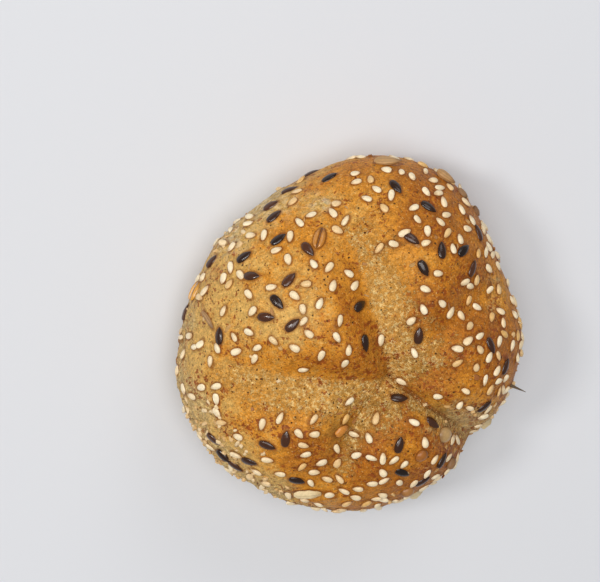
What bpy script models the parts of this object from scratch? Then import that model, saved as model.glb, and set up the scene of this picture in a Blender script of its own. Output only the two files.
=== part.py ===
"""A seeded bread roll: a five-lobed bun baked as one piece, with grains and flax seeds baked onto its crust.

Metres, +Z up. The origin is at the middle of the flat base. The roll is one closed solid. Each larger
grain and each flax seed is a solid of its own, seated just clear of the crust.
"""

import math

import bmesh
import bpy
import numpy as np
from mathutils import Matrix, Vector
from mathutils.bvhtree import BVHTree

MM = 0.001
CLOSE = 1e-9

# Driving dimensions of the bun.
BUN_RADIUS = 49.0 * MM
DOME_HEIGHT = 50.0 * MM
BELLY_HEIGHT = 17.0 * MM
BASE_SHARE = 0.74
SHOULDER_ROUNDNESS = 0.92
CROWN_ROUNDNESS = 0.98
BUN_SUBDIVISIONS = 5
SMOOTHING = 0.35

# How far round the section, from the crown (0) to the middle of the base (1), the belly and the base begin.
BELLY_AT = 0.52
BASE_AT = 0.70

# The outline seen from above: lobes per turn, share of the radius, and the direction of the first in degrees.
OUTLINE_WAVES = ((2, 0.040, 57.0), (3, 0.023, -44.0), (4, 0.014, -9.0), (5, 0.015, -10.0))
BUN_CENTRE = (1.2 * MM, -1.4 * MM)

# The hub where the five creases meet, and the point that the creases press towards.
HUB = (7.5 * MM, -7.0 * MM)
PRESS_CENTRE_HEIGHT = 10.0 * MM

# Each crease runs outward from the hub. Angles are in degrees, lengths in millimetres:
# heading, bend, length, depth, width to its left, width to its right, and where along it the fading starts.
CREASES = {
    "north": (104.0, 8.0, 46.0, 6.4, 8.0, 12.0, 0.45),
    "west": (184.0, -24.0, 50.0, 4.8, 11.0, 7.5, 0.45),
    "south": (212.0, 68.0, 40.0, 5.9, 6.5, 9.0, 0.45),
    "east": (-39.0, 0.0, 42.0, 5.0, 5.0, 7.0, 0.75),
    "north_east": (58.0, -56.0, 42.0, 3.0, 8.0, 7.0, 0.7),
}
CREASE_STEPS = 24
CREASE_BLEND = 3.0

# Each lobe between two creases swells: direction in degrees, then distance, spread and rise in millimetres.
LOBES = {
    "big": (147.0, 24.0, 22.0, 3.2),
    "top": (59.0, 33.0, 18.0, 3.0),
    "right": (-4.0, 33.0, 14.0, 3.0),
    "front": (-56.0, 33.0, 15.0, 2.6),
    "left": (238.0, 33.0, 19.0, 2.6),
}

# Seeds stick where they were strewn, from a line that leans a little from the vertical.
STREW_DIRECTION = 135.0
STREW_LEAN = 17.0
STREW_HEIGHT = 0.2
RIM_STEP = 0.01
SEAT_GAP = 0.3 * MM
SEAT_STEP = 0.05 * MM

# Length, width and thickness of each kind of grain.
FLAX_SIZE = (4.8 * MM, 2.9 * MM, 1.45 * MM)

# Flax seeds on each lobe: across, up and turn, in millimetres and degrees, seen along the strewing line.
FLAX_ON = {
    "big": (
        (-10, 45, 35), (-5, 43, 50), (-16, 40, 5), (-21, 35, 0), (-20, 32, 45), (-19, 26, 35),
        (-11, 23, -55), (-37, 20, 5), (-28, 21, 20), (-26, 16, -10), (-16, 15, 50), (-19, 9, -45),
        (-22, 5, 0), (-15, 3, 40), (3, 8, 30), (4, -2, -70), (-45, 6, 80), (-35, 0, 85),
    ),
    "top": (
        (13, 40, -65), (22, 35, -35), (17, 26, -35), (25, 23, 85), (31, 23, 30), (20, 18, -60),
        (34, 18, 60), (36, 28, 90), (19, 0, 85),
    ),
    "right": ((39, -3, -60), (44, -9, 60), (38, -20, 25)),
    "front": (
        (14, -17, 0), (23, -24, -35), (14, -30, 80), (15, -38, -40), (26, -35, 60), (21, -41, 20),
    ),
    "left": (
        (-17, -28, 80), (-22, -30, -15), (-27, -35, 10), (-14, -40, -35), (-37, -29, -30),
        (-34, -34, -45), (-31, -37, -50),
    ),
}

# Larger grains: across, up, turn, then length, width and thickness in millimetres, and the point's share.
GRAINS = {
    "sunflower_kernel": (11, 47, 8, 7.4, 3.9, 2.2, 0.6),
    "sunflower_husk_kernel": (27, 43, -25, 6.0, 3.5, 2.5, 0.5),
    "wheat_kernel_creased": (-8, 26, 75, 6.2, 3.6, 2.0, 0.2),
    "wheat_kernel_left": (-42, 12, 60, 6.0, 3.4, 1.8, 0.3),
    "bran_husk": (-38, 4, -40, 6.0, 1.8, 0.9, 0.3),
    "oat_flake": (-11, -44, 5, 7.8, 3.4, 1.3, 0.3),
    "barley_piece_golden": (-2, -26, 30, 4.4, 3.0, 1.6, 0.2),
    "rye_grain_round": (27, -28, 0, 4.8, 4.6, 2.9, 0.0),
    "rye_grain_brown": (20, -33, 40, 3.8, 3.4, 2.1, 0.0),
    "rye_grain_front": (17, -44, 10, 4.0, 3.8, 2.5, 0.0),
    "millet_grain": (29, -36, 60, 3.6, 3.2, 2.3, 0.2),
    "millet_grain_rim": (37, 35, 50, 3.4, 2.4, 1.5, 0.3),
    "millet_grain_top": (32, 39, -50, 3.6, 2.6, 1.5, 0.3),
    "grain_flake_right": (41, -26, 35, 4.0, 3.0, 0.9, 0.1),
    "grain_flake_front": (20, -46, 20, 4.4, 2.8, 0.9, 0.1),
}


def clear_scene():
    for thing in list(bpy.data.objects):
        bpy.data.objects.remove(thing, do_unlink=True)


def make_material(name, colour, roughness):
    """A plain finish: a base colour and a roughness."""
    material = bpy.data.materials.new(name)
    material.use_nodes = True
    shader = material.node_tree.nodes["Principled BSDF"]
    shader.inputs["Base Color"].default_value = (*colour, 1.0)
    shader.inputs["Roughness"].default_value = roughness
    shader.inputs["Metallic"].default_value = 0.0
    material.diffuse_color = (*colour, 1.0)
    return material


def outline_radius(turn):
    """The bun's radius at each direction, in radians, from its gentle five-lobed outline."""
    share = np.ones_like(turn)
    for count, size, first in OUTLINE_WAVES:
        share += size * np.cos(count * (turn - math.radians(first)))
    return BUN_RADIUS * share


def section_point(along):
    """Radius share and height for each place along the section, from crown to the middle of the base."""
    quarter = math.pi / 2
    dome = np.clip(along / BELLY_AT, 0, 1) * quarter
    under = np.clip((along - BELLY_AT) / (BASE_AT - BELLY_AT), 0, 1) * quarter
    inner = np.clip((along - BASE_AT) / (1 - BASE_AT), 0, 1)
    radius = np.sin(dome) ** SHOULDER_ROUNDNESS
    radius -= (1 - BASE_SHARE) * (1 - np.cos(under))
    radius -= BASE_SHARE * inner
    height = BELLY_HEIGHT + (DOME_HEIGHT - BELLY_HEIGHT) * np.cos(dome).clip(0) ** CROWN_ROUNDNESS
    height -= BELLY_HEIGHT * np.sin(under)
    return radius, height


def lobe_rise(flat):
    """How far the lobes swell above the plain dome."""
    rise = np.zeros(len(flat))
    for direction, distance, spread, height in LOBES.values():
        turn = math.radians(direction)
        centre = np.array([math.cos(turn), math.sin(turn)]) * distance * MM
        gap = np.linalg.norm(flat - centre, axis=1) / (spread * MM)
        rise += height * MM * np.exp(-gap**2)
    return rise


def crease_line(heading, bend, length):
    """The points of one crease, a line from the hub that turns steadily by its bend."""
    step = length * MM / CREASE_STEPS
    turns = np.radians(heading + bend * (np.arange(CREASE_STEPS) + 0.5) / CREASE_STEPS)
    steps = np.column_stack([np.cos(turns), np.sin(turns)]) * step
    return np.vstack([[HUB], np.array(HUB) + np.cumsum(steps, axis=0)])


def crease_depth(flat):
    """How deep the creases press in, each steeper on one side than on the other."""
    total = np.zeros(len(flat))
    for heading, bend, length, depth, left, right, fade_from in CREASES.values():
        line = crease_line(heading, bend, length)
        away = flat[:, None, :] - line[None, :, :]
        distance = np.linalg.norm(away, axis=2)
        nearest = distance.argmin(axis=1)
        along = np.gradient(line, axis=0)[nearest]
        offset = away[np.arange(len(flat)), nearest]
        along /= np.linalg.norm(along, axis=1)[:, None]
        closest = distance.min(axis=1)
        side = along[:, 0] * offset[:, 1] - along[:, 1] * offset[:, 0]
        leftness = 0.5 + 0.5 * side / np.maximum(closest, CLOSE)
        width = (left * leftness + right * (1 - leftness)) * MM
        fade = (nearest / CREASE_STEPS - fade_from) / (1 - fade_from)
        fade = 1 - np.clip(fade, 0, 1) ** 2
        pressed = depth * MM * fade * np.exp(-((closest / width) ** 2))
        total += pressed**CREASE_BLEND
    return total ** (1 / CREASE_BLEND)


def crust_points(directions):
    """The crust point for each unit direction: the turned section, its lobes and its creases."""
    turn = np.arctan2(directions[:, 1], directions[:, 0])
    along = np.arccos(np.clip(directions[:, 2], -1, 1)) / math.pi
    share, height = section_point(along)
    radius = outline_radius(turn) * share
    points = np.column_stack([radius * np.cos(turn), radius * np.sin(turn), height])
    points[:, :2] += BUN_CENTRE
    centre = np.array([*BUN_CENTRE, PRESS_CENTRE_HEIGHT])
    outward = points - centre
    outward /= np.linalg.norm(outward, axis=1)[:, None]
    upper = np.clip((BASE_AT - along) / (BASE_AT - 0.5 * BELLY_AT), 0, 1)
    upper = upper * upper * (3 - 2 * upper)
    move = (lobe_rise(points[:, :2]) - crease_depth(points[:, :2])) * upper
    points += outward * move[:, None]
    points[along >= BASE_AT, 2] = 0.0
    return points


def make_roll(material):
    """The bun, one closed solid on its flat base."""
    shape = bmesh.new()
    bmesh.ops.create_icosphere(shape, subdivisions=BUN_SUBDIVISIONS, radius=1.0)
    directions = np.array([vert.co.normalized() for vert in shape.verts])
    for vert, place in zip(shape.verts, crust_points(directions)):
        vert.co = Vector(place)
    above_base = [vert for vert in shape.verts if vert.co.z > BELLY_HEIGHT]
    bmesh.ops.smooth_vert(shape, verts=above_base, factor=SMOOTHING, use_axis_x=True, use_axis_y=True,
                          use_axis_z=True)
    bmesh.ops.recalc_face_normals(shape, faces=shape.faces)
    return finish_object("roll", shape, material)


def finish_object(name, shape, material):
    """Makes an object of the shape, with its finish and smooth shading."""
    mesh = bpy.data.meshes.new(name)
    shape.to_mesh(mesh)
    shape.free()
    mesh.materials.append(material)
    mesh.shade_smooth()
    made = bpy.data.objects.new(name, mesh)
    bpy.context.scene.collection.objects.link(made)
    return made


def seed_shape(length, width, thickness, point):
    """A low grain, rounded above and flatter below, that narrows towards one end by its point's share."""
    shape = bmesh.new()
    bmesh.ops.create_uvsphere(shape, u_segments=8, v_segments=5, radius=0.5)
    shape.transform(Matrix.Rotation(math.pi / 2, 4, "Y"))
    for vert in shape.verts:
        narrow = 1 - point * (0.5 + vert.co.x) ** 2
        vert.co.x *= length
        vert.co.y *= width * narrow
        vert.co.z *= thickness * narrow
    bmesh.ops.triangulate(shape, faces=shape.faces)
    return shape


def strewing_axes():
    """The directions across, up and against the line that the seeds were strewn along."""
    turn = math.radians(STREW_DIRECTION)
    lean = math.radians(STREW_LEAN)
    back = Vector((math.cos(turn) * math.sin(lean), math.sin(turn) * math.sin(lean), math.cos(lean)))
    up = (Vector((0, 1, 0)) - back * back.y).normalized()
    return up.cross(back), up, back


def seat(name, place, size, point, bun, material):
    """Seats a grain on the crust where its line meets it, turned to lie flat, just clear of the bun.

    A grain strewn past the rim sticks to the rim.
    """
    across, up, turn = place
    right, far, back = strewing_axes()
    hit, reach = None, 1.0
    while hit is None:
        strewn = (right * across + far * up) * reach * MM
        start = strewn + Vector((0, 0, BELLY_HEIGHT)) + back * STREW_HEIGHT
        hit, normal, _, _ = bun.ray_cast(start, -back)
        reach -= RIM_STEP
    heading = right * math.cos(math.radians(turn)) + far * math.sin(math.radians(turn))
    along = (heading - normal * heading.dot(normal)).normalized()
    frame = Matrix((along, normal.cross(along), normal)).transposed()
    shape = seed_shape(*size, point)
    shape.transform(Matrix.Translation(hit) @ frame.to_4x4())
    lift_clear(shape, normal, bun)
    return finish_object(name, shape, material)


def lift_clear(shape, normal, bun):
    """Moves the grain out along the crust's normal until a gap is left all round it."""
    probe = shape.copy()
    bmesh.ops.transform(probe, matrix=Matrix.Translation(-normal * SEAT_GAP), verts=probe.verts)
    lift = 0.0
    while probe_touches(probe, bun):
        bmesh.ops.transform(probe, matrix=Matrix.Translation(normal * SEAT_STEP), verts=probe.verts)
        lift += SEAT_STEP
    probe.free()
    bmesh.ops.transform(shape, matrix=Matrix.Translation(normal * lift), verts=shape.verts)


def probe_touches(probe, bun):
    """True while the grain, set SEAT_GAP lower, meets the bun or lies within it."""
    if BVHTree.FromBMesh(probe).overlap(bun):
        return True
    nearest, normal, _, _ = bun.find_nearest(probe_centre(probe))
    return (probe_centre(probe) - nearest).dot(normal) < 0


def probe_centre(probe):
    total = Vector()
    for vert in probe.verts:
        total += vert.co
    return total / len(probe.verts)


def make_grains(bun):
    """The larger grains, each with the colour of its kind."""
    colours = {
        "sunflower": (0.50, 0.33, 0.16),
        "wheat": (0.42, 0.20, 0.05),
        "bran": (0.35, 0.18, 0.07),
        "oat": (0.75, 0.58, 0.32),
        "barley": (0.52, 0.26, 0.07),
        "rye": (0.45, 0.26, 0.10),
        "millet": (0.30, 0.15, 0.06),
        "grain": (0.80, 0.66, 0.42),
    }
    finishes = {kind: make_material(kind + "_skin", colour, 0.5) for kind, colour in colours.items()}
    for name, (across, up, turn, length, width, thickness, point) in GRAINS.items():
        size = (length * MM, width * MM, thickness * MM)
        finish = finishes[name.split("_")[0]]
        seat(name, (across, up, turn), size, point, bun, finish)


def make_flax(bun):
    """The flax seeds, numbered lobe by lobe."""
    finish = make_material("flax_skin", (0.045, 0.022, 0.014), 0.25)
    for lobe, places in FLAX_ON.items():
        for number, place in enumerate(places, 1):
            seat(f"flax_seed_{lobe}_{number:02d}", place, FLAX_SIZE, 0.55, bun, finish)


def centre_on_base():
    """Moves all the meshes so that the whole object's box is centred over the origin."""
    parts = [thing for thing in bpy.data.objects if thing.type == "MESH"]
    points = np.array([vert.co for thing in parts for vert in thing.data.vertices])
    middle = (points.min(axis=0) + points.max(axis=0)) / 2
    shift = Matrix.Translation((-middle[0], -middle[1], -points[:, 2].min()))
    for thing in parts:
        thing.data.transform(shift)


def main():
    clear_scene()
    roll = make_roll(make_material("crust", (0.42, 0.18, 0.035), 0.55))
    bpy.context.view_layer.update()
    bun = BVHTree.FromObject(roll, bpy.context.evaluated_depsgraph_get())
    make_grains(bun)
    make_flax(bun)
    centre_on_base()


main()
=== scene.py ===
"""Looks of a seeded bread roll: its baked crust, flax seeds, sesame seeds and larger grains, on a pale floor.

Lengths are in metres unless a name ends in _mm. Angles are in degrees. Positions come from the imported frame.
"""

from __future__ import annotations

import logging
import math
from dataclasses import dataclass, field
from enum import Enum

import bpy
import numpy as np
from mathutils import Matrix, Vector
from mathutils.bvhtree import BVHTree


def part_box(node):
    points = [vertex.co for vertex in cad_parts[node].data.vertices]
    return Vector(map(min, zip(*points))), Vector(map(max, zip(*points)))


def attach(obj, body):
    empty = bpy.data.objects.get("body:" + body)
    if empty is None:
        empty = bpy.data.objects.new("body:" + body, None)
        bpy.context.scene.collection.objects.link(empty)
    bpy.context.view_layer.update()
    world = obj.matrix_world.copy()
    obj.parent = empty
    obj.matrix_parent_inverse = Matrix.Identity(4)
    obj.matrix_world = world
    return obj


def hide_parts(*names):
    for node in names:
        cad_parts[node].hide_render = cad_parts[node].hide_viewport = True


MM = 0.001
BODY = "root"
LOG = logging.getLogger("bread_roll")
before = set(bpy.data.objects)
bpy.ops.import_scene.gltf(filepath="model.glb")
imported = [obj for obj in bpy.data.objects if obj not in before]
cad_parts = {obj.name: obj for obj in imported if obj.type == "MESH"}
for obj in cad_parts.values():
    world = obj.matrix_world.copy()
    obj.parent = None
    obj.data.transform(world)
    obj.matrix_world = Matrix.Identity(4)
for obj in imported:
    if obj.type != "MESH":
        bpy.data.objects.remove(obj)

Colour = tuple[float, float, float]
Place = tuple[float, float, float]
Array = np.ndarray
Socket = bpy.types.NodeSocket


def smooth_step(low: float, high: float, value: Array) -> Array:
    """Rises smoothly from 0 at low to 1 at high.

    Args:
        low: Where the rise starts.
        high: Where the rise ends.
        value: The values to map.

    Returns:
        The mapped values, from 0 to 1.
    """
    share = np.clip((value - low) / (high - low), 0.0, 1.0)
    return share * share * (3.0 - 2.0 * share)


def unit(vectors: Array) -> Array:
    """Scales each row to length 1."""
    return vectors / np.maximum(np.linalg.norm(vectors, axis=1), 1e-12)[:, None]


class Noise:
    """Smooth seeded noise in space, from -1 to 1."""

    CELLS = 32

    def __init__(self, seed: int) -> None:
        """Draws the lattice of values.

        Args:
            seed: The seed that fixes the pattern.
        """
        draw = np.random.default_rng(seed)
        self.lattice = draw.uniform(-1.0, 1.0, (self.CELLS,) * 3)

    def at(self, points: Array, size: float) -> Array:
        """Reads one layer of noise.

        Args:
            points: Places in space, one a row.
            size: The width of one lump of the pattern.

        Returns:
            One value for each point.
        """
        place = points / size + 0.37 * self.CELLS
        low = np.floor(place).astype(int)
        part = place - low
        part = part * part * (3.0 - 2.0 * part)
        total = np.zeros(len(points))
        for corner in range(8):
            step = np.array([corner & 1, corner >> 1 & 1, corner >> 2 & 1])
            index = (low + step) % self.CELLS
            weight = np.prod(np.where(step, part, 1.0 - part), axis=1)
            total += weight * self.lattice[index[:, 0], index[:, 1], index[:, 2]]
        return total

    def layered(self, points: Array, size: float, layers: int = 3, keep: float = 0.5) -> Array:
        """Adds finer and weaker layers of noise.

        Args:
            points: Places in space, one a row.
            size: The width of the coarsest lumps.
            layers: How many layers, each twice as fine as the last.
            keep: The strength that each layer keeps of the last.

        Returns:
            One value for each point.
        """
        total = np.zeros(len(points))
        for layer in range(layers):
            total += self.at(points + layer * 0.013, size / 2**layer) * keep**layer
        return total


@dataclass(frozen=True)
class Pressed:
    """What creases do at points: how deep, how floury, how near a lobe's edge, the fold line and the tuck."""

    depth: Array
    dust: Array
    edge: Array
    fold: Array
    tuck: Array


@dataclass(frozen=True)
class Crease:
    """One fold line that runs outward from the hub.

    Left and right are as seen when looking outward. A tuck draws that lobe's edge over the crease. The floury
    band spreads to the crease's left as far as dust_at, or to its right if that is negative, and fades
    beyond. The notch is the sharp line at the bottom.
    """

    heading: float
    bend: float
    length_mm: float
    depth_mm: float
    left_mm: float
    right_mm: float
    fade_from: float
    dust_at_mm: float
    dust_mm: float
    dust: float
    notch_mm: float
    tuck_left_mm: float = 0.0
    tuck_right_mm: float = 0.0
    notch_width_mm: float = 1.0
    sharp_edge_mm: float = 8.5
    steps: int = 110

    def line(self, hub: tuple[float, float]) -> Array:
        """Lays out the crease seen from above.

        Args:
            hub: Where the creases meet.

        Returns:
            The crease's points from the hub outward.
        """
        step = self.length_mm * MM / self.steps
        turns = np.radians(self.heading + self.bend * (np.arange(self.steps) + 0.5) / self.steps)
        moves = np.column_stack([np.cos(turns), np.sin(turns)]) * step
        return np.vstack([[hub], np.array(hub) + np.cumsum(moves, axis=0)])

    def measure(self, flat: Array, hub: tuple[float, float]) -> tuple[Array, Array, Array, Array]:
        """Finds where each point lies beside the crease.

        Args:
            flat: Points seen from above, one a row.
            hub: Where the creases meet.

        Returns:
            Distance, side (1 left, -1 right), share of the length, and the direction towards the crease.
        """
        line = self.line(hub)
        best = np.full(len(flat), np.inf)
        nearest = np.zeros(len(flat), int)
        for index, point in enumerate(line):
            away = np.hypot(flat[:, 0] - point[0], flat[:, 1] - point[1])
            closer = away < best
            best[closer] = away[closer]
            nearest[closer] = index
        offset = flat - line[nearest]
        along = unit(np.gradient(line, axis=0))[nearest]
        cross = along[:, 0] * offset[:, 1] - along[:, 1] * offset[:, 0]
        side = cross / np.maximum(best, 1e-9)
        towards = -offset / np.maximum(best, 1e-9)[:, None]
        return best, side, nearest / self.steps, towards

    def press(self, flat: Array, hub: tuple[float, float]) -> Pressed:
        """Presses the crease into points.

        Args:
            flat: Points seen from above, one a row.
            hub: Where the creases meet.

        Returns:
            What the crease does at each point.
        """
        distance, side, share, towards = self.measure(flat, hub)
        left = 0.5 + 0.5 * side
        width = (self.left_mm * left + self.right_mm * (1 - left)) * MM
        gap = distance / width
        fade = 1 - np.clip((share - self.fade_from) / (1 - self.fade_from), 0, 1) ** 2
        line = self.notch_mm * fade * np.exp(-((distance / (self.notch_width_mm * MM)) ** 2))
        pull = (self.tuck_left_mm * left + self.tuck_right_mm * (1 - left)) * MM * fade
        brink = gap * np.exp(1 - gap**2 * 0.9)
        return Pressed(
            depth=self.depth_mm * MM * fade * np.exp(-(gap**2)),
            dust=self.dust * fade**0.5 * self.floury_band(distance, side, share),
            edge=fade * np.exp(-((gap - 1.1) ** 2) * 5.0) * (width < self.sharp_edge_mm * MM),
            fold=line * smooth_step(1.0, 0.25, share),
            tuck=towards * (pull * brink)[:, None],
        )

    def floury_band(self, distance: Array, side: Array, share: Array) -> Array:
        """How far each point lies inside the floury band.

        Args:
            distance: Distances from the crease.
            side: 1 on its left and -1 on its right.
            share: Shares of its length.

        Returns:
            1 inside the band, falling to 0 outside.
        """
        inward = distance * side * math.copysign(1.0, self.dust_at_mm) / MM
        beyond = np.maximum(distance / MM - abs(self.dust_at_mm), 0) / self.dust_mm
        beyond = np.where(share > 0, beyond, 2 * beyond)
        return smooth_step(-2.6, 1.2, inward) * np.exp(-(beyond**2))


@dataclass(frozen=True)
class Lobe:
    """One of the swellings between two creases."""

    direction: float
    distance_mm: float
    spread_mm: float
    rise_mm: float

    def rise(self, flat: Array) -> Array:
        """How far the lobe swells above the plain dome.

        Args:
            flat: Points seen from above, one a row.

        Returns:
            The swell at each point.
        """
        turn = math.radians(self.direction)
        centre = np.array([math.cos(turn), math.sin(turn)]) * self.distance_mm * MM
        gap = np.linalg.norm(flat - centre, axis=1) / (self.spread_mm * MM)
        return self.rise_mm * MM * np.exp(-(gap**2))


@dataclass(frozen=True)
class Strewing:
    """The line along which the seeds fell, which leans a little from the vertical.

    The camera looks along the same line.
    """

    direction: float = 135.0
    lean: float = 17.0

    @property
    def back(self) -> Vector:
        """The direction against the fall, back up to where the seeds came from."""
        turn, lean = math.radians(self.direction), math.radians(self.lean)
        return Vector((math.cos(turn) * math.sin(lean), math.sin(turn) * math.sin(lean), math.cos(lean)))

    @property
    def up(self) -> Vector:
        """The direction that is +Y seen along the fall."""
        return (Vector((0, 1, 0)) - self.back * self.back.y).normalized()

    @property
    def right(self) -> Vector:
        """The direction that is +X seen along the fall."""
        return self.up.cross(self.back)

    def raised(self, normal: Vector, share: float = 0.45) -> Vector:
        """The direction a fallen seed's face takes on the crust: closer to the fall on steep places.

        Args:
            normal: The crust's outward direction.
            share: How far the seed turns towards the fall where the crust is upright.

        Returns:
            The direction of the seed's upper face.
        """
        steep = 1.0 - max(normal.dot(self.back), 0.0)
        return (normal + self.back * (share * steep)).normalized()

    def spread(self, points: Array, centre: Vector) -> Array:
        """The places of points across the fall, in millimetres.

        Args:
            points: Points in space, one a row.
            centre: The point that lies at 0, 0.

        Returns:
            Across and up for each point.
        """
        away = points - np.array(centre)
        return np.column_stack([away @ np.array(self.right), away @ np.array(self.up)]) / MM


@dataclass
class BunForm:
    """The bun's outer form: a turned section with a waved outline, swollen lobes and pressed creases."""

    radius: float = 49.0 * MM
    dome_height: float = 50.0 * MM
    belly_height: float = 17.0 * MM
    base_share: float = 0.74
    shoulder: float = 0.92
    crown: float = 0.98
    belly_at: float = 0.52
    base_at: float = 0.70
    hub: tuple[float, float] = (7.5 * MM, -7.0 * MM)
    press_height: float = 10.0 * MM
    crease_blend: float = 3.0
    waver: float = 0.9 * MM
    waver_size: float = 9.0 * MM
    centre: tuple[float, float] = (1.2 * MM, -1.4 * MM)
    waves: tuple[tuple[int, float, float], ...] = (
        (2, 0.040, 57.0),
        (3, 0.023, -44.0),
        (4, 0.014, -9.0),
        (5, 0.015, -10.0),
    )
    creases: dict[str, Crease] = field(
        default_factory=lambda: {
            "north": Crease(
                heading=104, bend=8, length_mm=46, depth_mm=6.4, left_mm=7.5, right_mm=12.0, fade_from=0.45,
                dust_at_mm=-4.0, dust_mm=6.5, dust=0.95, notch_mm=0.2, tuck_left_mm=0.4,
            ),
            "west": Crease(
                heading=184, bend=-24, length_mm=50, depth_mm=4.8, left_mm=11.0, right_mm=7.0, fade_from=0.45,
                dust_at_mm=4.0, dust_mm=6.5, dust=0.95, notch_mm=0.2, tuck_right_mm=0.3,
            ),
            "south": Crease(
                heading=212, bend=68, length_mm=40, depth_mm=5.9, left_mm=6.0, right_mm=9.0, fade_from=0.45,
                dust_at_mm=1.0, dust_mm=4.0, dust=0.7, notch_mm=0.35, tuck_right_mm=0.6,
            ),
            "east": Crease(
                heading=-39, bend=0, length_mm=42, depth_mm=5.0, left_mm=5.0, right_mm=7.0, fade_from=0.75,
                dust_at_mm=-1.5, dust_mm=3.0, dust=0.7, notch_mm=1.2, tuck_left_mm=0.6,
            ),
            "north_east": Crease(
                heading=58, bend=-56, length_mm=42, depth_mm=3.0, left_mm=8.0, right_mm=7.0, fade_from=0.7,
                dust_at_mm=-1.0, dust_mm=4.0, dust=0.2, notch_mm=0.2,
            ),
        }
    )
    lobes: dict[str, Lobe] = field(
        default_factory=lambda: {
            "big": Lobe(147, 24, 22, 3.2),
            "top": Lobe(59, 33, 18, 3.0),
            "right": Lobe(-4, 33, 14, 3.0),
            "front": Lobe(-56, 33, 15, 2.6),
            "left": Lobe(238, 33, 19, 2.6),
        }
    )

    def section(self, along: Array) -> tuple[Array, Array]:
        """The bun's section.

        Args:
            along: Places on the section, from 0 at the crown to 1 at the middle of the base.

        Returns:
            The share of the radius and the height at each place.
        """
        quarter = math.pi / 2
        dome = np.clip(along / self.belly_at, 0, 1) * quarter
        under = np.clip((along - self.belly_at) / (self.base_at - self.belly_at), 0, 1) * quarter
        inner = np.clip((along - self.base_at) / (1 - self.base_at), 0, 1)
        share = np.sin(dome) ** self.shoulder
        share -= (1 - self.base_share) * (1 - np.cos(under))
        share -= self.base_share * inner
        rise = (self.dome_height - self.belly_height) * np.cos(dome).clip(0) ** self.crown
        return share, self.belly_height * (1 - np.sin(under)) + rise

    def shape(self, directions: Array) -> tuple[Array, dict[str, Array]]:
        """The crust's points and what marks them.

        Args:
            directions: Unit directions from the middle, one for each point.

        Returns:
            The points, and the marks: dust (floury creases), edge (lobe edges), fold (crease bottoms),
            pressed (the creases' depth in millimetres) and along (place on the section).
        """
        turn = np.arctan2(directions[:, 1], directions[:, 0])
        along = np.arccos(np.clip(directions[:, 2], -1, 1)) / math.pi
        share, height = self.section(along)
        wave = sum(size * np.cos(count * (turn - math.radians(first))) for count, size, first in self.waves)
        reach = self.radius * (1 + wave) * share
        points = np.column_stack([reach * np.cos(turn), reach * np.sin(turn), height])
        points[:, :2] += self.centre
        outward = unit(points - np.array([*self.centre, self.press_height]))
        upper = 1 - smooth_step(0.5 * self.belly_at, self.base_at, along)
        waver = [noise.layered(points, self.waver_size, 2) * self.waver for noise in (Noise(3), Noise(4))]
        flat = points[:, :2] + np.column_stack(waver)
        swell = sum(lobe.rise(flat) for lobe in self.lobes.values())
        pressed = self.press(flat)
        depth = pressed.depth + pressed.fold * MM
        points += outward * ((swell - depth) * upper)[:, None]
        points[:, :2] += pressed.tuck * upper[:, None]
        marks = {"dust": pressed.dust * upper, "edge": pressed.edge * upper, "fold": pressed.fold * upper}
        return points, {**marks, "along": along, "pressed": depth / MM}

    def press(self, flat: Array) -> Pressed:
        """Presses all creases into points, blended where they meet.

        Args:
            flat: Points seen from above, one a row.

        Returns:
            What the creases together do at each point.
        """
        each = [crease.press(flat, self.hub) for crease in self.creases.values()]
        return Pressed(
            depth=sum(one.depth**self.crease_blend for one in each) ** (1 / self.crease_blend),
            dust=np.max([one.dust for one in each], axis=0),
            edge=np.max([one.edge for one in each], axis=0),
            fold=np.max([one.fold for one in each], axis=0),
            tuck=sum(one.tuck for one in each),
        )


class CubeBall:
    """A fine, even net of four-sided faces over a ball."""

    def __init__(self, cuts: int) -> None:
        """Lays out the net.

        Args:
            cuts: How many faces run along each side of the six panels.
        """
        marks = np.tan(np.linspace(-math.pi / 4, math.pi / 4, cuts + 1))
        across, up = np.meshgrid(marks, marks)
        across, up, out = across.ravel(), up.ravel(), np.ones((cuts + 1) ** 2)
        panels = [
            (out, across, up),
            (-out, -across, up),
            (-across, out, up),
            (across, -out, up),
            (across, up, out),
            (-across, up, -out),
        ]
        points = np.vstack([np.column_stack(panel) for panel in panels])
        corner = np.arange(cuts * (cuts + 1)).reshape(cuts, cuts + 1)[:, :-1].ravel()
        quad = np.column_stack([corner, corner + 1, corner + cuts + 2, corner + cuts + 1])
        faces = np.vstack([quad + panel * (cuts + 1) ** 2 for panel in range(6)])
        _, first, back = np.unique(np.round(points, 7), axis=0, return_index=True, return_inverse=True)
        self.directions = unit(points[first])
        self.faces = back.reshape(-1)[faces]


def vertex_normals(points: Array, faces: Array) -> Array:
    """Finds the outward normals of a net of four-sided faces.

    Args:
        points: The net's points, one a row.
        faces: Four point numbers for each face.

    Returns:
        The normal at each point.
    """
    crossed = np.cross(points[faces[:, 2]] - points[faces[:, 0]], points[faces[:, 3]] - points[faces[:, 1]])
    total = np.zeros_like(points)
    for corner in range(4):
        np.add.at(total, faces[:, corner], crossed)
    return unit(total)


def make_mesh(name: str, points: Array, faces: list[list[int]], marks: dict[str, Array]) -> bpy.types.Object:
    """Makes a smooth-shaded object with its marks as point attributes.

    Args:
        name: The piece's name.
        points: The points, one a row.
        faces: The faces' point numbers.
        marks: One number for each point under each name.

    Returns:
        The new object, linked to the scene.
    """
    mesh = bpy.data.meshes.new(name)
    mesh.from_pydata(points.tolist(), [], faces)
    for mark, values in marks.items():
        attribute = mesh.attributes.new(mark, "FLOAT", "POINT")
        attribute.data.foreach_set("value", values.astype(np.float32))
    mesh.shade_smooth()
    mesh.update()
    made = bpy.data.objects.new(name, mesh)
    bpy.context.scene.collection.objects.link(made)
    return made


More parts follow.
